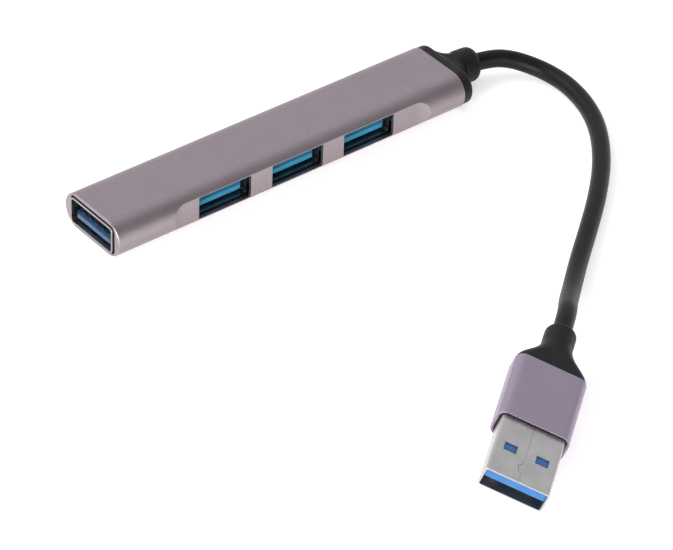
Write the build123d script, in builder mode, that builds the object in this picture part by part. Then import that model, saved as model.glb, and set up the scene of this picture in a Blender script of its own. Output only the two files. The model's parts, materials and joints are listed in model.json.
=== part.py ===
"""Slim four-port USB hub: an aluminium tube with one socket in its end, three sockets in its side
and a short lead that ends in a USB-A plug.

Frame: +X runs along the body towards the lead, -Y is the side with three sockets, +Z is up.
The origin is on the resting surface, under the middle of the body. Lengths are in millimetres.
"""

import os
from math import cos, pi, radians, sin, tan

from build123d import *

# Housing: a slot-shaped aluminium tube with a flat milled into one side by a wheel that leaves hollow ends
HOUSING_LENGTH = 83.0
HOUSING_WIDTH = 17.2
HOUSING_HEIGHT = 7.6
CAVITY_WIDTH = 13.8
CAVITY_HEIGHT = 6.2
CAVITY_CORNER = 1.1
HOUSING_EDGE = 0.15  # chamfer on the sawn ends
FLAT_DEPTH = 1.03
FLAT_LENGTH = 55.1  # without the hollow ends
FLAT_CENTRE = 43.5  # from the socket end of the housing
FLAT_CUTTER_RADIUS = 5.5
OPENING_WIDTH = 12.2
OPENING_HEIGHT = 4.8
OPENING_CORNER = 0.25
OPENING_EDGE = 0.05
PORT_CENTRES = (25.2, 42.45, 59.7)  # from the socket end of the housing
MID_Z = HOUSING_HEIGHT / 2

# USB 3.0 type A socket
SHELL_WIDTH = 13.1
SHELL_HEIGHT = 5.7
SHELL_CORNER = 0.9
SHELL_WALL = 0.3
RIM_EDGE = 0.1
END_SOCKET_PROUD = 0.25  # the end socket stands this far out of the housing
END_SOCKET_DEPTH = 12.0
SIDE_SOCKET_RECESS = 1.7  # the side sockets sit this far behind the milled flat
SIDE_SOCKET_DEPTH = 9.6
TONGUE_RECESS = 0.5
TONGUE_WIDTH = 11.1
TONGUE_TOP = -0.2  # heights from the middle of the socket
TONGUE_BOTTOM = -2.0
TONGUE_NOSE = -0.45  # the top of the front face, under the lead-in slope
TONGUE_SLOPE = 0.6
TONGUE_UNDERCUT = 0.65  # chamfer under the front face
TONGUE_CORNER = 0.7
BLOCK_DEPTH = 2.2
BLOCK_WIDTH = 12.4
BLOCK_HEIGHT = 5.0
CONTACT_THICKNESS = 0.15
SHORT_CONTACT_DROP = 1.1  # how far under the tongue's top a fast contact runs
LONG_CONTACTS = (-3.5, -1.0, 1.0, 3.5)
SHORT_CONTACTS = (-4.0, -2.0, 0.0, 2.0, 4.0)
LONG_CONTACT_WIDTH = 1.0
SHORT_CONTACT_WIDTH = 0.7
PAD_LENGTH = 1.6
PAD_SPACE = 0.6  # between a fast contact's pad and the contact behind it
TAIL_REACH = 1.6
TAIL_BEND = 0.2
TAB_SIZE = 1.4
TAB_PLACES = (0.4, 0.8)  # shares of the socket's depth
SPRING_PLACE = 0.55
SPRING_LENGTH = 4.4
SPRING_WIDTH = 1.8
SPRING_SLIT = 0.25

# Circuit board and what is soldered to it
BOARD_THICKNESS = 1.0
BOARD_WIDTH = 13.2
BOARD_GAP = 0.7  # from the back of a socket to the edge of the board
BOARD_END = 76.0  # from the socket end of the housing
NOTCH_WIDTH = 13.5
CHIP_SIZE = 6.0
CHIP_HEIGHT = 0.9
CHIP_CENTRE = (71.0, -1.4)
CRYSTAL_CENTRE = (70.4, 4.4)
CRYSTAL_SIZE = (3.2, 2.5, 0.7)
CAPACITOR_SIZE = (0.9, 1.6, 0.8)
CAPACITOR_ROW = (68.4, -5.6)
CAPACITOR_PITCH = 1.6
RESISTOR_SIZE = (0.8, 1.6, 0.45)
END_RESISTORS = ((74.9, -5.4), (74.9, 5.4))
NEXT_TO_NOTCH = 2.2
FILM_SIZE = (8.4, 12.4, 0.12)

# End cap and strain relief at the lead's end; distances are from the end of the housing
CAP_LIP = 2.3
CAP_WIDTH = 16.9
CAP_HEIGHT = 7.3
CAP_EDGE = 0.8
NECK_DIAMETER = 6.7
NECK_END = 4.6
SPIGOT_LENGTH = 4.0
SPIGOT_WALL = 0.8
SPIGOT_PLAY = 0.1
CAP_POCKET = 1.5
CAP_BORE = 4.9
CAP_FLARE = (  # share of the way to the neck, width, height
    (0.0, 13.8, 6.4),
    (0.2, 11.3, 6.3),
    (0.45, 9.1, 6.3),
    (0.75, 7.5, 6.5),
    (1.0, 6.8, NECK_DIAMETER),
)
COLLAR_DIAMETER = 7.0
COLLAR_LENGTH = 4.8
COLLAR_BEND = 12.0  # degrees: the soft collar leans with the lead
COLLAR_END_ROUND = 1.9
COLLAR_START_ROUND = 0.8
FLANGE_THICKNESS = 0.8
FLANGE_WIDTH = 8.0
FERRULE_LENGTH = 2.4
FERRULE_RADIUS = 2.1
FERRULE_WALL = 0.35
WIRE_DIAMETER = 0.6
WIRE_COUNT = 8
WIRE_PITCH = 1.2
WIRE_BUNDLE_PITCH = 0.7
WIRE_BUNDLE_RISE = 0.4
WIRE_BEND = 0.9

# Plug: distances run back from its tip
PLUG_TIP = (-32.7, -104.38, 4.03)
PLUG_HEADING = -142.3  # degrees about Z from +X
PLUG_NOSE_DOWN = 4.3  # it rests on its tip and on the front edge of its sleeve
PLUG_ROLL = 20.0  # the lead holds it turned a little about its length
PLUG_WIDTH = 12.0
PLUG_HEIGHT = 4.5
PLUG_CORNER = 0.6
PLUG_WALL = 0.3
PLUG_LENGTH = 13.8
PLUG_TAIL = 3.5
WINDOW_SPACING = 6.0
WINDOW_WIDTH = 2.4
WINDOW_LENGTH = 1.9
WINDOW_BACK = 6.8
SEAM_WIDTH = 0.1
SEAM_DEPTH = 0.15
PLUG_TONGUE_HEIGHT = 1.95
PLUG_TONGUE_RECESS = 0.3
PLUG_TONGUE_PLAY = 0.05
PLUG_TONGUE_SHORT = 1.5
PLUG_LONG_CONTACT = (6.0, 7.4)  # middle and length, back from the tip
PLUG_SHORT_CONTACT = (11.6, 3.0)
PLUG_SOLDER_SPACE = (10.0, 2.4)
SLEEVE_LENGTH = 15.6
SLEEVE_WIDTH = 13.8
SLEEVE_HEIGHT = 6.3
SLEEVE_CORNER = 1.9
SLEEVE_DROP = 0.2  # the steel shell sits a little high in the sleeve
SLEEVE_EDGE = 0.1
SLEEVE_BORE_WIDTH = 12.5
SLEEVE_BORE_HEIGHT = 5.4
SLEEVE_BORE_CORNER = 1.0
SLEEVE_BORE_EDGE = 0.25  # chamfer inside its mouth
MOULD_PLAY = 0.1
MOULD_RECESS = 0.4
MOULD_SHORT = 0.2
PLUG_RELIEF_FLARE = 8.0
PLUG_RELIEF_COLLAR = 3.8
PLUG_COLLAR_DIAMETER = 5.9
PLUG_COLLAR_ROUND = 0.8
PLUG_FLARE = (  # share of the way to the collar, width, height, corner
    (0.0, 13.6, 6.1, 2.0),
    (0.2, 12.6, 6.0, 2.2),
    (0.36, 10.7, 5.9, 2.4),
    (0.55, 8.4, 5.8, 2.6),
    (0.78, 6.5, 5.75, 2.7),
    (1.0, 5.85, 5.85, 2.9),
)

# Lead
CABLE_DIAMETER = 3.6
CABLE_REST = 1.85  # height of its centre line where it lies on the surface
ARC_SHARE = 0.45  # of the shorter run, taken up by the arc that rounds a corner
FIRST_RUN = 3.6
LAST_RUN = 5.6
CABLE_ROUTE = (
    (53.0, -2.9, 3.3),
    (55.4, -5.5, 2.6),
    (57.3, -9.3, 2.0),
    (57.9, -14.9, CABLE_REST),
    (56.3, -22.5, CABLE_REST),
    (52.7, -30.0, CABLE_REST),
    (46.5, -38.1, CABLE_REST),
    (38.3, -46.1, CABLE_REST),
    (29.7, -53.2, CABLE_REST),
    (21.3, -59.9, 1.95),
    (14.1, -66.2, 2.9),
    (8.6, -71.2, 5.1),
)

# Places worked out from the dimensions above
BODY_LENGTH = END_SOCKET_PROUD + HOUSING_LENGTH + NECK_END + COLLAR_LENGTH
SOCKET_X = -BODY_LENGTH / 2
HOUSING_X = SOCKET_X + END_SOCKET_PROUD
HOUSING_END_X = HOUSING_X + HOUSING_LENGTH
FLAT_Y = -HOUSING_WIDTH / 2 + FLAT_DEPTH
SIDE_SOCKET_Y = FLAT_Y + SIDE_SOCKET_RECESS
BOARD_TOP = BOARD_THICKNESS / 2
SLEEVE_BACK = PLUG_LENGTH + SLEEVE_LENGTH
PLUG_BACK = SLEEVE_BACK + PLUG_RELIEF_FLARE + PLUG_RELIEF_COLLAR


def finish(builder, name):
    """Label a finished piece and write it to its own file."""
    builder.part.label = name
    export_step(builder.part, f"parts/{name}.step")
    return builder.part


def across(x):
    """Plane across the body at x: its own x is +Y and its y is up."""
    return Plane(origin=(x, 0, MID_Z), x_dir=(0, 1, 0), z_dir=(1, 0, 0))


def facing_side(y, x=0.0):
    """Plane parallel to the milled flat: its own x is +X, its y is up and it faces outwards."""
    return Plane(origin=(x, y, MID_Z), x_dir=(1, 0, 0), z_dir=(0, -1, 0))


def level(z):
    """Level plane, with z measured from the middle of the housing."""
    return Plane.XY.offset(MID_Z + z)


def direction(heading, fall):
    """Unit vector at a heading about Z, falling by an angle, both in degrees."""
    flat = cos(radians(fall))
    return Vector(cos(radians(heading)) * flat, sin(radians(heading)) * flat, -sin(radians(fall)))


# ---------------------------------------------------------------- housing
def make_housing():
    with BuildPart() as housing:
        with BuildSketch(across(HOUSING_X)):
            SlotOverall(HOUSING_WIDTH, HOUSING_HEIGHT)
            RectangleRounded(CAVITY_WIDTH, CAVITY_HEIGHT, CAVITY_CORNER, mode=Mode.SUBTRACT)
        extrude(amount=HOUSING_LENGTH)
        by_length = housing.edges().group_by(Axis.X)
        chamfer(by_length[0] + by_length[-1], HOUSING_EDGE)
        with BuildSketch(level(0)):
            with Locations((HOUSING_X + FLAT_CENTRE, FLAT_Y - FLAT_CUTTER_RADIUS)):
                SlotCenterToCenter(FLAT_LENGTH, 2 * FLAT_CUTTER_RADIUS)
        extrude(amount=HOUSING_HEIGHT, both=True, mode=Mode.SUBTRACT)
        with BuildSketch(facing_side(-CAVITY_WIDTH / 2 + 1, HOUSING_X)):
            with Locations([(x, 0) for x in PORT_CENTRES]):
                RectangleRounded(OPENING_WIDTH, OPENING_HEIGHT, OPENING_CORNER)
        extrude(amount=HOUSING_WIDTH / 4, mode=Mode.SUBTRACT)
        by_side = housing.faces().filter_by(Axis.Y).group_by(Axis.Y)
        flat_face = by_side[0].sort_by(SortBy.AREA)[-1]
        chamfer([edge for wire in flat_face.inner_wires() for edge in wire.edges()], OPENING_EDGE)
    return finish(housing, "housing")


# ---------------------------------------------------------------- sockets
def side_view(mouth):
    """Plane that cuts a socket lengthwise: its own x runs inwards and its y is up."""
    return Plane(origin=mouth.origin, x_dir=-mouth.z_dir, z_dir=mouth.x_dir)


def long_contact(start, back):
    """Side view of a power or data contact, from its pad on the tongue to its tail on the board."""
    low = TONGUE_TOP
    high = low + CONTACT_THICKNESS
    bend = back + TAIL_BEND + CONTACT_THICKNESS
    return [
        (start, low),
        (bend, low),
        (bend, BOARD_TOP),
        (back + TAIL_REACH, BOARD_TOP),
        (back + TAIL_REACH, BOARD_TOP + CONTACT_THICKNESS),
        (back + TAIL_BEND, BOARD_TOP + CONTACT_THICKNESS),
        (back + TAIL_BEND, high),
        (start, high),
    ]


def short_contact(start, back):
    """Side view of a fast contact: a pad near the nose, then through the tongue to the board's back."""
    high = TONGUE_TOP + CONTACT_THICKNESS
    low = TONGUE_TOP - SHORT_CONTACT_DROP
    bend = back + TAIL_BEND + CONTACT_THICKNESS
    return [
        (start, high),
        (start, TONGUE_TOP),
        (start + PAD_LENGTH - CONTACT_THICKNESS, TONGUE_TOP),
        (start + PAD_LENGTH - CONTACT_THICKNESS, low),
        (bend, low),
        (bend, -BOARD_TOP - CONTACT_THICKNESS),
        (back + TAIL_REACH, -BOARD_TOP - CONTACT_THICKNESS),
        (back + TAIL_REACH, -BOARD_TOP),
        (back + TAIL_BEND, -BOARD_TOP),
        (back + TAIL_BEND, low + CONTACT_THICKNESS),
        (start + PAD_LENGTH, low + CONTACT_THICKNESS),
        (start + PAD_LENGTH, high),
    ]


def make_socket(name, mouth, depth, side_tabs):
    """Steel shell, contacts and blue insulator of one socket whose mouth lies in the given plane."""
    from_above = Plane(origin=mouth.origin, x_dir=mouth.x_dir, z_dir=mouth.y_dir)
    spring_x = (-SHELL_WIDTH / 4, SHELL_WIDTH / 4)
    spring_y = depth * SPRING_PLACE
    with BuildPart() as shell:
        with BuildSketch(mouth):
            RectangleRounded(SHELL_WIDTH, SHELL_HEIGHT, SHELL_CORNER)
        extrude(amount=-depth)
        fillet(shell.faces().sort_by(Axis(mouth.origin, mouth.z_dir))[-1].edges(), RIM_EDGE)
        with BuildSketch(mouth):
            RectangleRounded(
                SHELL_WIDTH - 2 * SHELL_WALL, SHELL_HEIGHT - 2 * SHELL_WALL, SHELL_CORNER - SHELL_WALL
            )
        extrude(amount=-depth, mode=Mode.SUBTRACT)
        # Spring fingers, cut free on three sides in the top and the bottom
        with BuildSketch(from_above):
            with Locations([(x, spring_y) for x in spring_x]):
                Rectangle(SPRING_WIDTH + 2 * SPRING_SLIT, SPRING_LENGTH)
            with Locations([(x, spring_y + SPRING_SLIT) for x in spring_x]):
                Rectangle(SPRING_WIDTH, SPRING_LENGTH, mode=Mode.SUBTRACT)
        extrude(amount=SHELL_HEIGHT, both=True, mode=Mode.SUBTRACT)
        if side_tabs:
            tab_x = (SHELL_WIDTH + TAB_SIZE) / 2 - SHELL_WALL / 2
            with BuildSketch(from_above.offset(BOARD_TOP)):
                with Locations([(x, depth * share) for x in (-tab_x, tab_x) for share in TAB_PLACES]):
                    Rectangle(TAB_SIZE + SHELL_WALL, TAB_SIZE)
            extrude(amount=SHELL_WALL)
    finish(shell, f"{name}_shell")

    nose = TONGUE_RECESS + TONGUE_SLOPE + CONTACT_THICKNESS
    with BuildPart() as contacts:
        for places, width, profile in (
            (LONG_CONTACTS, LONG_CONTACT_WIDTH, long_contact(nose + PAD_LENGTH + PAD_SPACE, depth)),
            (SHORT_CONTACTS, SHORT_CONTACT_WIDTH, short_contact(nose, depth)),
        ):
            for x in places:
                with BuildSketch(side_view(mouth).offset(x)):
                    Polygon(*profile, align=None)
                extrude(amount=width / 2, both=True)
    finish(contacts, f"{name}_contacts")

    with BuildPart() as insulator:
        with BuildSketch(side_view(mouth)):
            Polygon(
                (TONGUE_RECESS, TONGUE_BOTTOM + TONGUE_UNDERCUT),
                (TONGUE_RECESS + TONGUE_UNDERCUT, TONGUE_BOTTOM),
                (depth - BLOCK_DEPTH, TONGUE_BOTTOM),
                (depth - BLOCK_DEPTH, TONGUE_TOP),
                (TONGUE_RECESS + TONGUE_SLOPE, TONGUE_TOP),
                (TONGUE_RECESS, TONGUE_NOSE),
                align=None,
            )
        extrude(amount=TONGUE_WIDTH / 2, both=True)
        with BuildSketch(from_above):
            with Locations((0, (depth + TONGUE_RECESS) / 2)):
                RectangleRounded(TONGUE_WIDTH, depth - TONGUE_RECESS, TONGUE_CORNER)
        extrude(amount=SHELL_HEIGHT, both=True, mode=Mode.INTERSECT)
        with BuildSketch(mouth.offset(-depth)):
            RectangleRounded(BLOCK_WIDTH, BLOCK_HEIGHT, SHELL_CORNER - SHELL_WALL)
        extrude(amount=BLOCK_DEPTH)
        add(contacts.part, mode=Mode.SUBTRACT)
    finish(insulator, f"{name}_insulator")


# ---------------------------------------------------------------- board
def make_board():
    """The board sits at half height: the side sockets are sunk into notches in its edge."""
    start = SOCKET_X + END_SOCKET_DEPTH + BOARD_GAP
    end = HOUSING_X + BOARD_END
    notch_depth = SIDE_SOCKET_Y + SIDE_SOCKET_DEPTH + BOARD_GAP + BOARD_WIDTH / 2
    with BuildPart() as board:
        with BuildSketch(level(-BOARD_TOP)):
            with Locations(((start + end) / 2, 0)):
                Rectangle(end - start, BOARD_WIDTH)
            with Locations([(HOUSING_X + x, (notch_depth - BOARD_WIDTH) / 2) for x in PORT_CENTRES]):
                Rectangle(NOTCH_WIDTH, notch_depth, mode=Mode.SUBTRACT)
        extrude(amount=BOARD_THICKNESS)
    finish(board, "circuit_board")

    with BuildPart() as chip:
        with BuildSketch(level(BOARD_TOP)):
            with Locations((HOUSING_X + CHIP_CENTRE[0], CHIP_CENTRE[1])):
                Rectangle(CHIP_SIZE, CHIP_SIZE)
        extrude(amount=CHIP_HEIGHT)
        chamfer(chip.faces().sort_by(Axis.Z)[-1].edges(), 0.1)
    finish(chip, "controller_chip")

    with BuildPart() as crystal:
        with BuildSketch(level(BOARD_TOP)):
            with Locations((HOUSING_X + CRYSTAL_CENTRE[0], CRYSTAL_CENTRE[1])):
                RectangleRounded(*CRYSTAL_SIZE[:2], radius=0.3)
        extrude(amount=CRYSTAL_SIZE[2])
    finish(crystal, "crystal")

    between_ports = [HOUSING_X + (a + b) / 2 for a, b in zip(PORT_CENTRES, PORT_CENTRES[1:])]
    before_ports = HOUSING_X + PORT_CENTRES[0] - NOTCH_WIDTH / 2 - NEXT_TO_NOTCH
    row_x, row_y = CAPACITOR_ROW
    with BuildPart() as capacitors:
        with BuildSketch(level(BOARD_TOP)):
            with Locations([(x, y) for x in (before_ports, *between_ports) for y in (-2.5, 0.0)]):
                Rectangle(*CAPACITOR_SIZE[:2])
            with Locations([(HOUSING_X + row_x + CAPACITOR_PITCH * step, row_y) for step in range(4)]):
                Rectangle(*CAPACITOR_SIZE[:2])
        extrude(amount=CAPACITOR_SIZE[2])
    finish(capacitors, "capacitors")

    with BuildPart() as resistors:
        with BuildSketch(level(BOARD_TOP)):
            with Locations([(x, 2.6) for x in (before_ports, *between_ports)]):
                Rectangle(*RESISTOR_SIZE[:2])
            with Locations([(HOUSING_X + x, y) for x, y in END_RESISTORS]):
                Rectangle(*RESISTOR_SIZE[:2])
        extrude(amount=RESISTOR_SIZE[2])
    finish(resistors, "resistors")

    with BuildPart() as film:
        with BuildSketch(level(-BOARD_TOP - FILM_SIZE[2])):
            with Locations((HOUSING_X + CHIP_CENTRE[0], 0)):
                Rectangle(*FILM_SIZE[:2])
        extrude(amount=FILM_SIZE[2])
    finish(film, "insulating_film")


# ---------------------------------------------------------------- lead's end of the hub
def make_cap():
    spigot_width = CAVITY_WIDTH - SPIGOT_PLAY
    spigot_height = CAVITY_HEIGHT - SPIGOT_PLAY
    inside_width = spigot_width - 2 * SPIGOT_WALL
    inside_height = spigot_height - 2 * SPIGOT_WALL
    with BuildPart() as cap:
        with BuildSketch(across(HOUSING_END_X)):
            SlotOverall(CAP_WIDTH, CAP_HEIGHT)
        extrude(amount=CAP_LIP)
        fillet(cap.edges().group_by(Axis.X)[-1], CAP_EDGE)
        # Concave flare from the lip to the round neck
        flare_start = CAP_LIP - 0.1
        for share, width, height in CAP_FLARE:
            with BuildSketch(across(HOUSING_END_X + flare_start + share * (NECK_END - flare_start))):
                SlotOverall(width, height)
        loft()
        with BuildSketch(across(HOUSING_END_X - SPIGOT_LENGTH)):
            RectangleRounded(spigot_width, spigot_height, CAVITY_CORNER)
        extrude(amount=SPIGOT_LENGTH)
        with BuildSketch(across(HOUSING_END_X - SPIGOT_LENGTH)):
            RectangleRounded(inside_width, inside_height, CAVITY_CORNER - SPIGOT_WALL)
        extrude(amount=SPIGOT_LENGTH + CAP_POCKET, mode=Mode.SUBTRACT)
        with BuildSketch(across(HOUSING_END_X)):
            Circle(CAP_BORE / 2)
        extrude(amount=NECK_END + 1, mode=Mode.SUBTRACT)
    finish(cap, "end_cap")

    # Soft strain relief: a flange in the cap, a stem in its bore and a collar that leans with the lead
    lean_radius = COLLAR_LENGTH / radians(COLLAR_BEND)
    neck_x = HOUSING_END_X + NECK_END
    with BuildPart() as relief:
        with BuildLine(Plane(origin=(neck_x, 0, MID_Z))):
            CenterArc((0, -lean_radius), lean_radius, 90, -COLLAR_BEND)
        with BuildSketch(across(neck_x)):
            Circle(COLLAR_DIAMETER / 2)
        sweep()
        fillet(relief.edges().filter_by(GeomType.CIRCLE).sort_by(Axis.X)[-1], COLLAR_END_ROUND)
        fillet(relief.edges().filter_by(GeomType.CIRCLE).sort_by(Axis.X)[0], COLLAR_START_ROUND)
        with BuildSketch(across(HOUSING_END_X + CAP_POCKET)):
            Circle(CAP_BORE / 2)
        extrude(amount=NECK_END - CAP_POCKET + COLLAR_START_ROUND)
        with BuildSketch(across(HOUSING_END_X + CAP_POCKET - FLANGE_THICKNESS)):
            RectangleRounded(FLANGE_WIDTH, inside_height - 2 * SPIGOT_PLAY, COLLAR_START_ROUND)
        extrude(amount=FLANGE_THICKNESS)
    finish(relief, "strain_relief")

    ferrule_x = HOUSING_END_X + CAP_POCKET - FLANGE_THICKNESS - FERRULE_LENGTH
    with BuildPart() as ferrule:
        with BuildSketch(across(ferrule_x)):
            Circle(FERRULE_RADIUS)
            Circle(FERRULE_RADIUS - FERRULE_WALL, mode=Mode.SUBTRACT)
        extrude(amount=FERRULE_LENGTH)
    finish(ferrule, "cable_ferrule")

    # Wires leave the ferrule in two layers, fan out and come down on pads at the end of the board
    start_x = ferrule_x + FERRULE_LENGTH
    pad_x = HOUSING_X + BOARD_END - WIRE_DIAMETER
    pad_z = BOARD_TOP + WIRE_DIAMETER / 2
    outer_places = (0, WIRE_COUNT - 1)
    for name, places in (("power_wires", outer_places), ("data_wires", range(1, WIRE_COUNT - 1))):
        with BuildPart() as wires:
            for place in places:
                pad_y = (place - (WIRE_COUNT - 1) / 2) * WIRE_PITCH
                bundle_y = (place // 2 - (WIRE_COUNT // 2 - 1) / 2) * WIRE_BUNDLE_PITCH
                layer_z = WIRE_BUNDLE_RISE if place % 2 else -WIRE_BUNDLE_RISE
                with BuildLine():
                    FilletPolyline(
                        (start_x, bundle_y, MID_Z + layer_z),
                        (ferrule_x - WIRE_DIAMETER / 3, bundle_y, MID_Z + layer_z),
                        (pad_x + PAD_LENGTH, pad_y, MID_Z + pad_z),
                        (pad_x, pad_y, MID_Z + pad_z),
                        radius=WIRE_BEND,
                    )
                with BuildSketch(across(start_x)):
                    with Locations((bundle_y, layer_z)):
                        Circle(WIRE_DIAMETER / 2)
                sweep()
        finish(wires, name)


# ---------------------------------------------------------------- plug
def plug_frame():
    """Plane at the plug's tip: its own x runs across the plug, its y is up and it faces forwards."""
    forward = direction(PLUG_HEADING, PLUG_NOSE_DOWN)
    level_across = direction(PLUG_HEADING + 90, 0)
    upright = forward.cross(level_across)
    roll = radians(PLUG_ROLL)
    across_plug = level_across * cos(roll) - upright * sin(roll)
    return Plane(origin=PLUG_TIP, x_dir=across_plug, z_dir=forward)


def make_plug(tip, body):
    """The steel shell and what it holds follow the tip's plane; everything around it follows the body's."""
    along = Axis(tip.origin, tip.z_dir)
    top = Plane(origin=tip.origin + tip.y_dir * (PLUG_HEIGHT / 2), x_dir=tip.x_dir, z_dir=tip.y_dir)
    steel_length = PLUG_LENGTH + PLUG_TAIL
    inner_width = PLUG_WIDTH - 2 * PLUG_WALL
    inner_height = PLUG_HEIGHT - 2 * PLUG_WALL
    inner_corner = PLUG_CORNER - PLUG_WALL
    with BuildPart() as shell:
        with BuildSketch(tip):
            RectangleRounded(PLUG_WIDTH, PLUG_HEIGHT, PLUG_CORNER)
        extrude(amount=-steel_length)
        fillet(shell.faces().sort_by(along)[-1].edges(), RIM_EDGE)
        with BuildSketch(tip):
            RectangleRounded(inner_width, inner_height, inner_corner)
        extrude(amount=-steel_length, mode=Mode.SUBTRACT)
        with BuildSketch(top):
            with Locations([(x, WINDOW_BACK) for x in (-WINDOW_SPACING / 2, WINDOW_SPACING / 2)]):
                Rectangle(WINDOW_WIDTH, WINDOW_LENGTH)
        extrude(amount=-PLUG_HEIGHT, mode=Mode.SUBTRACT)
        # The rolled shell meets itself in a seam with a dovetail
        seam = [(0, -1), (0, 2.2), (-0.55, 2.3), (-0.8, 3.6), (0, 4.7), (0, steel_length + 1)]
        with BuildSketch(top):
            Polygon(
                *[(x - SEAM_WIDTH / 2, y) for x, y in seam],
                *[(x + SEAM_WIDTH / 2, y) for x, y in reversed(seam)],
                align=None,
            )
        extrude(amount=-SEAM_DEPTH, mode=Mode.SUBTRACT)
    finish(shell, "plug_shell")

    with BuildPart() as insulator:
        with BuildSketch(tip.offset(-PLUG_TONGUE_RECESS)):
            with Locations((0, (PLUG_TONGUE_HEIGHT - PLUG_TONGUE_PLAY) / 2)):
                RectangleRounded(
                    inner_width - 2 * PLUG_TONGUE_PLAY, PLUG_TONGUE_HEIGHT - PLUG_TONGUE_PLAY, inner_corner
                )
        extrude(amount=-(steel_length - PLUG_TONGUE_SHORT - PLUG_TONGUE_RECESS))
        chamfer(insulator.faces().sort_by(along)[-1].edges(), RIM_EDGE)
    finish(insulator, "plug_insulator")

    under_tongue = Plane(origin=tip.origin - tip.y_dir * PLUG_TONGUE_PLAY, x_dir=tip.x_dir, z_dir=tip.y_dir)
    with BuildPart() as contacts:
        with BuildSketch(under_tongue):
            with Locations([(x, PLUG_LONG_CONTACT[0]) for x in LONG_CONTACTS]):
                Rectangle(LONG_CONTACT_WIDTH, PLUG_LONG_CONTACT[1])
            with Locations([(x, PLUG_SHORT_CONTACT[0]) for x in SHORT_CONTACTS]):
                Rectangle(SHORT_CONTACT_WIDTH, PLUG_SHORT_CONTACT[1])
        extrude(amount=-CONTACT_THICKNESS)
    finish(contacts, "plug_contacts")

    mould_back = SLEEVE_BACK - MOULD_SHORT
    with BuildPart() as mould:
        with BuildSketch(body.offset(-PLUG_LENGTH - MOULD_RECESS)):
            RectangleRounded(
                SLEEVE_BORE_WIDTH - MOULD_PLAY,
                SLEEVE_BORE_HEIGHT - MOULD_PLAY,
                SLEEVE_BORE_CORNER - MOULD_PLAY / 2,
            )
        extrude(amount=-(mould_back - PLUG_LENGTH - MOULD_RECESS))
        with BuildSketch(tip.offset(-PLUG_LENGTH)):
            RectangleRounded(PLUG_WIDTH, PLUG_HEIGHT, PLUG_CORNER)
        extrude(amount=-PLUG_TAIL, mode=Mode.SUBTRACT)
        with BuildSketch(tip.offset(-steel_length)):
            Rectangle(*PLUG_SOLDER_SPACE)
        extrude(amount=-(mould_back - steel_length), mode=Mode.SUBTRACT)
    finish(mould, "plug_inner_mould")

    with BuildPart() as wires:
        with BuildSketch(tip.offset(-steel_length)):
            with GridLocations(WIRE_PITCH, 0, WIRE_COUNT - 1, 1):
                Circle(WIRE_DIAMETER / 2)
        extrude(amount=-(mould_back - steel_length))
    finish(wires, "plug_wires")

    with BuildPart() as sleeve:
        with BuildSketch(body.offset(-PLUG_LENGTH)):
            RectangleRounded(SLEEVE_WIDTH, SLEEVE_HEIGHT, SLEEVE_CORNER)
        extrude(amount=-SLEEVE_LENGTH)
        ends = sleeve.faces().sort_by(along)
        fillet(ends[0].edges() + ends[-1].edges(), SLEEVE_EDGE)
        with BuildSketch(body.offset(-PLUG_LENGTH)):
            RectangleRounded(SLEEVE_BORE_WIDTH, SLEEVE_BORE_HEIGHT, SLEEVE_BORE_CORNER)
        extrude(amount=-SLEEVE_LENGTH, mode=Mode.SUBTRACT)
        mouth = sleeve.faces().filter_by(GeomType.PLANE).sort_by(along)[-1]
        chamfer(mouth.inner_wires()[0].edges(), SLEEVE_BORE_EDGE)
    finish(sleeve, "plug_sleeve")

    # Soft strain relief: a concave flare from the sleeve's outline to a round collar
    with BuildPart() as relief:
        for share, width, height, corner in PLUG_FLARE:
            with BuildSketch(body.offset(-SLEEVE_BACK - share * PLUG_RELIEF_FLARE)):
                RectangleRounded(width, height, corner)
        loft()
        with BuildSketch(body.offset(-PLUG_BACK)):
            Circle(PLUG_COLLAR_DIAMETER / 2)
        extrude(amount=PLUG_RELIEF_COLLAR + 0.2)
        fillet(relief.faces().sort_by(along)[0].edges(), PLUG_COLLAR_ROUND)
    finish(relief, "plug_strain_relief")


# ---------------------------------------------------------------- lead
def make_cable(plug_body):
    """The lead runs from the hub's collar to the plug's collar, mostly on the surface."""
    lean_radius = COLLAR_LENGTH / radians(COLLAR_BEND)
    exit_point = Vector(
        HOUSING_END_X + NECK_END + lean_radius * sin(radians(COLLAR_BEND)),
        -lean_radius * (1 - cos(radians(COLLAR_BEND))),
        MID_Z,
    )
    exit_direction = direction(-COLLAR_BEND, 0)
    far_end = plug_body.origin - plug_body.z_dir * PLUG_BACK
    route = [exit_point, exit_point + exit_direction * FIRST_RUN]
    route += [Vector(*point) for point in CABLE_ROUTE]
    route += [far_end - plug_body.z_dir * LAST_RUN, far_end]
    runs = [b - a for a, b in zip(route, route[1:])]
    radii = []
    for before, after in zip(runs, runs[1:]):
        turn = before.get_angle(after)
        radii.append(ARC_SHARE * min(before.length, after.length) / tan(radians(turn / 2)))
    with BuildPart() as cable:
        with BuildLine() as path:
            FilletPolyline(*route, radius=radii)
        with BuildSketch(Plane(origin=exit_point, z_dir=exit_direction)):
            Circle(CABLE_DIAMETER / 2)
        sweep()
    length = path.wire().length
    tube_volume = length * pi * CABLE_DIAMETER**2 / 4
    print("cable route", [tuple(round(c, 2) for c in point) for point in route])
    print("cable runs", [round(run.length, 1) for run in runs])
    print("cable bend radii", [round(radius, 1) for radius in radii])
    print("cable length", round(length, 1), "volume ratio", cable.part.volume / tube_volume)
    finish(cable, "cable")


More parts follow.
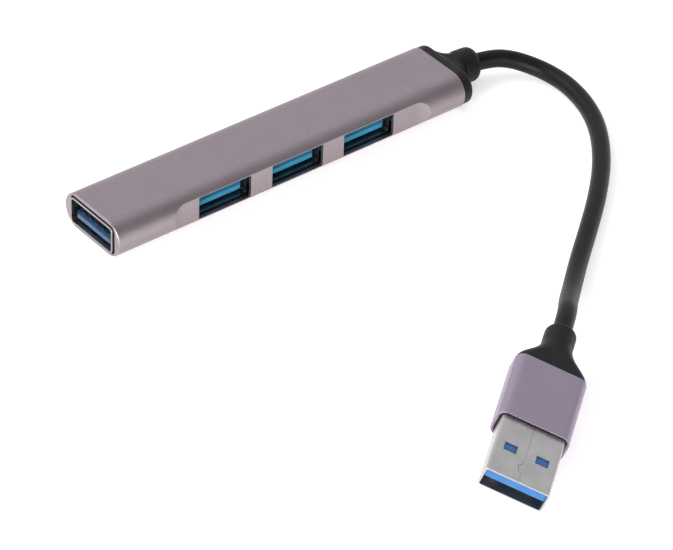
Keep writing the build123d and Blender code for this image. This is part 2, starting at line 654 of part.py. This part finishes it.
os.makedirs("parts", exist_ok=True)
make_housing()
end_mouth = Plane(origin=(SOCKET_X, 0, MID_Z), x_dir=(0, -1, 0), z_dir=(-1, 0, 0))
make_socket("end_socket", end_mouth, END_SOCKET_DEPTH, side_tabs=False)
for number, centre in enumerate(PORT_CENTRES, start=1):
    side_mouth = facing_side(SIDE_SOCKET_Y, HOUSING_X + centre)
    make_socket(f"side_socket_{number}", side_mouth, SIDE_SOCKET_DEPTH, side_tabs=True)
make_board()
make_cap()
plug_tip = plug_frame()
plug_body = Plane(
    origin=plug_tip.origin - plug_tip.y_dir * SLEEVE_DROP, x_dir=plug_tip.x_dir, z_dir=plug_tip.z_dir
)
make_plug(plug_tip, plug_body)
make_cable(plug_body)
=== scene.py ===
"""Looks of the slim USB hub: camera, lead, materials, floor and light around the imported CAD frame.

The frame's +X runs along the body towards the lead, -Y is the side with three sockets and +Z is up.
Everything is in metres.
"""

import json
from math import cos, radians, sin

import bpy
from mathutils import Matrix, Vector


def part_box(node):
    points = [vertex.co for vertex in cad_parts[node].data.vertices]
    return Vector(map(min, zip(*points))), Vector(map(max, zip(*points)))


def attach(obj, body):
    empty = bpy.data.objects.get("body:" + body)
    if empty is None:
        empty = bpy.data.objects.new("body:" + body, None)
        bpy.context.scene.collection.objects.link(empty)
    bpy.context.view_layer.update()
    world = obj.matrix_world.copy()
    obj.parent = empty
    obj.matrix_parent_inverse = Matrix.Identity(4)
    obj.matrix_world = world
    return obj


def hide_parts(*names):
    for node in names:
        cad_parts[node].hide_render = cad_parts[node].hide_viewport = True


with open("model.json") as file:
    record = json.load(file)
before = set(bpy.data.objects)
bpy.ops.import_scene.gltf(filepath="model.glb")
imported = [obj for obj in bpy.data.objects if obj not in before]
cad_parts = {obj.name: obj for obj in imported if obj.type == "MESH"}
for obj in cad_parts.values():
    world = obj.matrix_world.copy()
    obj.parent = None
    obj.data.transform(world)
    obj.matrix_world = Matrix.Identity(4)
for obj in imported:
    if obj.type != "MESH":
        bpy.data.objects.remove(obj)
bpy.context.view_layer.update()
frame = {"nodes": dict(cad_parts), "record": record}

MM = 0.001

# Camera, around the mouth of the end socket
CAMERA_AZIMUTH = -39.84
CAMERA_ELEVATION = 37.05
CAMERA_ROLL = 2.26
CAMERA_DISTANCE = 0.740
CAMERA_RIGHT = 0.0454
CAMERA_UP = -0.00919
CAMERA_LENS = 214.0
SENSOR_WIDTH = 36.0

# Lead: the route that its CAD tube takes
LEAD_DIAMETER = 3.6 * MM
LEAD_STEPS_ALONG = 16
LEAD_STEPS_ROUND = 10
LEAD_ROUTE = (
    (46.29, -0.50, 3.80),
    (49.81, -1.25, 3.80),
    (53.00, -2.90, 3.30),
    (55.40, -5.50, 2.60),
    (57.30, -9.30, 2.00),
    (57.90, -14.90, 1.85),
    (56.30, -22.50, 1.85),
    (52.70, -30.00, 1.85),
    (46.50, -38.10, 1.85),
    (38.30, -46.10, 1.85),
    (29.70, -53.20, 1.85),
    (21.30, -59.90, 1.95),
    (14.10, -66.20, 2.90),
    (8.60, -71.20, 5.10),
    (4.19, -75.78, 7.35),
    (-0.22, -79.19, 6.93),
)


# ---------------------------------------------------------------- camera
def make_camera():
    """Looks past the end socket at the side with three sockets, from above."""
    low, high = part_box("end_socket_shell")
    target = Vector((low.x, (low.y + high.y) / 2, (low.z + high.z) / 2))
    azimuth, elevation, roll = (radians(a) for a in (CAMERA_AZIMUTH, CAMERA_ELEVATION, CAMERA_ROLL))
    level_right = Vector((cos(azimuth), sin(azimuth), 0))
    back = Vector((sin(azimuth) * cos(elevation), -cos(azimuth) * cos(elevation), sin(elevation)))
    level_up = back.cross(level_right)
    right = level_right * cos(roll) + level_up * sin(roll)
    up = level_up * cos(roll) - level_right * sin(roll)
    data = bpy.data.cameras.new("camera")
    data.lens = CAMERA_LENS
    data.sensor_width = SENSOR_WIDTH
    camera = bpy.data.objects.new("camera", data)
    bpy.context.scene.collection.objects.link(camera)
    camera.location = target + right * CAMERA_RIGHT + up * CAMERA_UP + back * CAMERA_DISTANCE
    camera.rotation_mode = "QUATERNION"
    camera.rotation_quaternion = Matrix((right, up, back)).transposed().to_quaternion()
    bpy.context.scene.camera = camera


make_camera()


# ---------------------------------------------------------------- lead
def make_lead():
    """A tube along one smooth line, whose control points are the route's."""
    data = bpy.data.curves.new("lead_line", "CURVE")
    data.dimensions = "3D"
    spline = data.splines.new("NURBS")
    spline.points.add(len(LEAD_ROUTE) - 1)
    for point, place in zip(spline.points, LEAD_ROUTE):
        point.co = (*(value * MM for value in place), 1)
    spline.order_u = 3
    spline.use_endpoint_u = True
    spline.resolution_u = LEAD_STEPS_ALONG
    line = bpy.data.objects.new("lead_line", data)
    bpy.context.scene.collection.objects.link(line)
    path = [vertex.co.copy() for vertex in bpy.data.meshes.new_from_object(line).vertices]
    data.bevel_depth = LEAD_DIAMETER / 2
    data.bevel_resolution = LEAD_STEPS_ROUND
    data.use_fill_caps = True
    mesh = bpy.data.meshes.new_from_object(line)
    bpy.data.objects.remove(line)
    mesh.shade_smooth()
    lead = bpy.data.objects.new("lead", mesh)
    bpy.context.scene.collection.objects.link(lead)
    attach(lead, "root")
    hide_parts("cable")
    return lead


lead = make_lead()


# ---------------------------------------------------------------- materials
# Size of the fine marks, size of the patches, depth of the relief
BLASTED_GRAIN, BLASTED_PATCHES, BLASTED_DEPTH = 0.22 * MM, 6 * MM, 0.03 * MM
PLATED_LINES, PLATED_SMUDGES, PLATED_DEPTH = 0.12 * MM, 3 * MM, 0.01 * MM
MOULDED_GRAIN, MOULDED_FLOW, MOULDED_DEPTH = 0.15 * MM, 2.5 * MM, 0.01 * MM
BLASTED_ROUGHNESS = (0.42, 0.5)
PLATED_LINE_STRETCH = (8, 8, 1)


class Surface:
    """A Principled material whose colour, roughness and relief come from noise in the object's own space."""

    def __init__(self, name, **constants):
        self.material = bpy.data.materials.new(name)
        self.material.use_nodes = True
        self.tree = self.material.node_tree
        self.shader = self.tree.nodes["Principled BSDF"]
        for socket, value in constants.items():
            self.shader.inputs[socket.replace("_", " ")].default_value = value
        self.coordinates = self.tree.nodes.new("ShaderNodeTexCoord")
        self.height = None

    def noise(self, size, detail=2.0, stretch=(1, 1, 1)):
        """Noise with features about size metres across, drawn out along an axis where stretch is over 1."""
        mapping = self.tree.nodes.new("ShaderNodeMapping")
        mapping.inputs["Scale"].default_value = [1 / s for s in stretch]
        noise = self.tree.nodes.new("ShaderNodeTexNoise")
        noise.inputs["Scale"].default_value = 1 / size
        noise.inputs["Detail"].default_value = detail
        self.tree.links.new(self.coordinates.outputs["Object"], mapping.inputs["Vector"])
        self.tree.links.new(mapping.outputs["Vector"], noise.inputs["Vector"])
        return noise.outputs["Fac"]

    def ramp(self, value, low, high, start=0.3, end=0.7):
        """Value mapped from low, at start, to high, at end. low and high are numbers or colours."""
        if isinstance(low, (int, float)):
            node = self.tree.nodes.new("ShaderNodeMapRange")
            for name, number in zip(("From Min", "From Max", "To Min", "To Max"), (start, end, low, high)):
                node.inputs[name].default_value = number
            self.tree.links.new(value, node.inputs["Value"])
            return node.outputs["Result"]
        node = self.tree.nodes.new("ShaderNodeValToRGB")
        node.color_ramp.elements[0].position = start
        node.color_ramp.elements[0].color = (*low, 1)
        node.color_ramp.elements[1].position = end
        node.color_ramp.elements[1].color = (*high, 1)
        self.tree.links.new(value, node.inputs["Fac"])
        return node.outputs["Color"]

    def drive(self, socket, value):
        self.tree.links.new(value, self.shader.inputs[socket])

    def relief(self, value, depth, strength=1.0):
        """Relief of that depth in metres, on top of any relief already there."""
        bump = self.tree.nodes.new("ShaderNodeBump")
        bump.inputs["Strength"].default_value = strength
        bump.inputs["Distance"].default_value = depth
        self.tree.links.new(value, bump.inputs["Height"])
        if self.height is not None:
            self.tree.links.new(self.height, bump.inputs["Normal"])
        self.height = bump.outputs["Normal"]
        self.tree.links.new(self.height, self.shader.inputs["Normal"])


def blasted_aluminium(name, dark, light):
    """Bead-blasted and anodised: a fine grain in colour, gloss and relief."""
    surface = Surface(name, Metallic=1.0)
    grain = surface.noise(BLASTED_GRAIN, detail=4)
    patches = surface.noise(BLASTED_PATCHES, detail=3)
    surface.drive("Base Color", surface.ramp(grain, dark, light))
    surface.drive("Roughness", surface.ramp(patches, *BLASTED_ROUGHNESS))
    surface.relief(grain, BLASTED_DEPTH, 0.35)
    return surface.material


def plated_steel(name, dark, light, roughness=0.3):
    """Stamped and plated: faint drawn lines in gloss and relief, and smudges in colour."""
    surface = Surface(name, Metallic=1.0)
    drawn = surface.noise(PLATED_LINES, detail=3, stretch=PLATED_LINE_STRETCH)
    smudges = surface.noise(PLATED_SMUDGES, detail=3)
    surface.drive("Base Color", surface.ramp(smudges, dark, light))
    surface.drive("Roughness", surface.ramp(drawn, roughness - 0.06, roughness + 0.08))
    surface.relief(drawn, PLATED_DEPTH, 0.3)
    return surface.material


def moulded_plastic(name, dark, light, roughness, gloss=0.5):
    """Moulded: a fine grain in gloss and relief, and slight flow in colour."""
    surface = Surface(name, Specular_IOR_Level=gloss)
    grain = surface.noise(MOULDED_GRAIN, detail=3)
    flow = surface.noise(MOULDED_FLOW, detail=2)
    surface.drive("Base Color", surface.ramp(flow, dark, light))
    surface.drive("Roughness", surface.ramp(grain, roughness - 0.05, roughness + 0.05))
    surface.relief(grain, MOULDED_DEPTH, 0.4)
    return surface.material


FINISHES = {  # slot: how it is made, darker and lighter colour, and its roughness and gloss where they differ
    "anodised_aluminium": (blasted_aluminium, (0.31, 0.266, 0.284), (0.38, 0.328, 0.348)),
    "plug_aluminium": (blasted_aluminium, (0.335, 0.28, 0.36), (0.405, 0.345, 0.43)),
    "socket_steel": (plated_steel, (0.31, 0.31, 0.305), (0.37, 0.37, 0.36)),
    "plug_steel": (plated_steel, (0.47, 0.465, 0.45), (0.54, 0.535, 0.52), 0.36),
    # end_insulator_blue is the same blue insulator as in the side sockets, made much darker: painted shade
    # for the shaded inside of the end socket
    "end_insulator_blue": (moulded_plastic, (0.018, 0.055, 0.13), (0.022, 0.066, 0.155), 0.2),
    "blue_insulator": (moulded_plastic, (0.04, 0.255, 0.42), (0.05, 0.285, 0.47), 0.2),
    "plug_insulator_blue": (moulded_plastic, (0.024, 0.125, 0.34), (0.03, 0.145, 0.39), 0.2),
    "gold_plated_contact": (plated_steel, (0.50, 0.38, 0.18), (0.60, 0.46, 0.24), 0.28),
    "black_plastic": (moulded_plastic, (0.008, 0.008, 0.008), (0.012, 0.012, 0.012), 0.45, 0.2),
    "black_rubber": (moulded_plastic, (0.007, 0.007, 0.007), (0.011, 0.011, 0.011), 0.5, 0.2),
    "lead_jacket": (moulded_plastic, (0.005, 0.005, 0.005), (0.008, 0.008, 0.008), 0.42, 0.18),
    "ferrule_steel": (plated_steel, (0.45, 0.45, 0.43), (0.55, 0.55, 0.53)),
    "board_laminate": (moulded_plastic, (0.004, 0.030, 0.012), (0.006, 0.042, 0.017), 0.3),
    "chip_plastic": (moulded_plastic, (0.010, 0.010, 0.011), (0.016, 0.016, 0.017), 0.5),
    "crystal_can": (plated_steel, (0.62, 0.60, 0.56), (0.70, 0.68, 0.64), 0.25),
    "capacitor_ceramic": (moulded_plastic, (0.36, 0.23, 0.12), (0.46, 0.31, 0.18), 0.4),
    "resistor_body": (moulded_plastic, (0.015, 0.015, 0.016), (0.025, 0.025, 0.026), 0.35),
    "insulating_film": (moulded_plastic, (0.50, 0.26, 0.03), (0.60, 0.33, 0.05), 0.2),
    "power_wire_jacket": (moulded_plastic, (0.38, 0.015, 0.015), (0.5, 0.03, 0.03), 0.35),
    "data_wire_jacket": (moulded_plastic, (0.68, 0.68, 0.65), (0.78, 0.78, 0.75), 0.35),
}
MATERIALS = {slot: make(slot, *finish) for slot, (make, *finish) in FINISHES.items()}


def dress():
    """Every CAD node and the lead get the material of their slot in the record."""
    for part in frame["record"]["subparts"]:
        node = frame["nodes"][part["node"]]
        node.data.materials.clear()
        node.data.materials.append(MATERIALS[part["material_slot"]])
    lead.data.materials.append(MATERIALS["lead_jacket"])


dress()


# ---------------------------------------------------------------- floor and light
FLOOR_SIZE = 6.0
FLOOR_COLOUR = (0.93, 0.92, 0.915, 1)
FLOOR_GLOW = (1, 0.99, 0.98, 1)
FLOOR_GLOW_STRENGTH = 0.52
FLOOR_ROUGHNESS = 0.8
LIT_PLACE = (0, -0.03, 0)
SOFTBOXES = (  # name, place, width, height, power in watts
    ("back_left_softbox", (-0.6, 0.8, 1.0), 1.0, 1.0, 6),
    ("left_card", (-1.0, -0.4, 0.25), 0.9, 0.4, 11),
    ("front_card", (-0.15, -1.0, 0.15), 0.8, 0.25, 4),
)
SKY_TOWARDS = (0.35, 0.94, 0)  # the bright side of the studio: behind the hub
SKY_DARK = (-0.35, 0.28)  # share of the way towards the bright side, brightness
SKY_BRIGHT = (0.55, 0.9)
SKY_COLOUR = (0.99, 0.98, 1.03, 1)


def make_floor():
    """A pale floor that gives a little light of its own, so that only a faint shadow is left."""
    mesh = bpy.data.meshes.new("floor")
    half = FLOOR_SIZE / 2
    corners = [(-half, -half, 0), (half, -half, 0), (half, half, 0), (-half, half, 0)]
    mesh.from_pydata(corners, [], [(0, 1, 2, 3)])
    floor = bpy.data.objects.new("floor", mesh)
    bpy.context.scene.collection.objects.link(floor)
    surface = Surface(
        "floor",
        Roughness=FLOOR_ROUGHNESS,
        Base_Color=FLOOR_COLOUR,
        Emission_Color=FLOOR_GLOW,
        Emission_Strength=FLOOR_GLOW_STRENGTH,
    )
    mesh.materials.append(surface.material)


def make_lights():
    """Soft boxes and cards, all turned towards the middle of the hub and its lead."""
    for name, place, width, height, power in SOFTBOXES:
        data = bpy.data.lights.new(name, "AREA")
        data.shape = "RECTANGLE"
        data.size, data.size_y = width, height
        data.energy = power
        light = bpy.data.objects.new(name, data)
        bpy.context.scene.collection.objects.link(light)
        light.location = place
        light.rotation_mode = "QUATERNION"
        light.rotation_quaternion = (Vector(LIT_PLACE) - Vector(place)).to_track_quat("-Z", "Y")


def make_sky():
    """Soft light all round, brighter behind the hub than in front of it."""
    world = bpy.data.worlds.new("studio")
    world.use_nodes = True
    tree = world.node_tree
    coordinates = tree.nodes.new("ShaderNodeTexCoord")
    towards = tree.nodes.new("ShaderNodeVectorMath")
    towards.operation = "DOT_PRODUCT"
    towards.inputs[1].default_value = SKY_TOWARDS
    brightness = tree.nodes.new("ShaderNodeMapRange")
    brightness.interpolation_type = "SMOOTHSTEP"
    brightness.inputs["From Min"].default_value, brightness.inputs["To Min"].default_value = SKY_DARK
    brightness.inputs["From Max"].default_value, brightness.inputs["To Max"].default_value = SKY_BRIGHT
    background = tree.nodes["Background"]
    background.inputs["Color"].default_value = SKY_COLOUR
    tree.links.new(coordinates.outputs["Generated"], towards.inputs[0])
    tree.links.new(towards.outputs["Value"], brightness.inputs["Value"])
    tree.links.new(brightness.outputs["Result"], background.inputs["Strength"])
    bpy.context.scene.world = world


make_floor()
make_lights()
make_sky()
bpy.context.scene.view_settings.view_transform = "Standard"
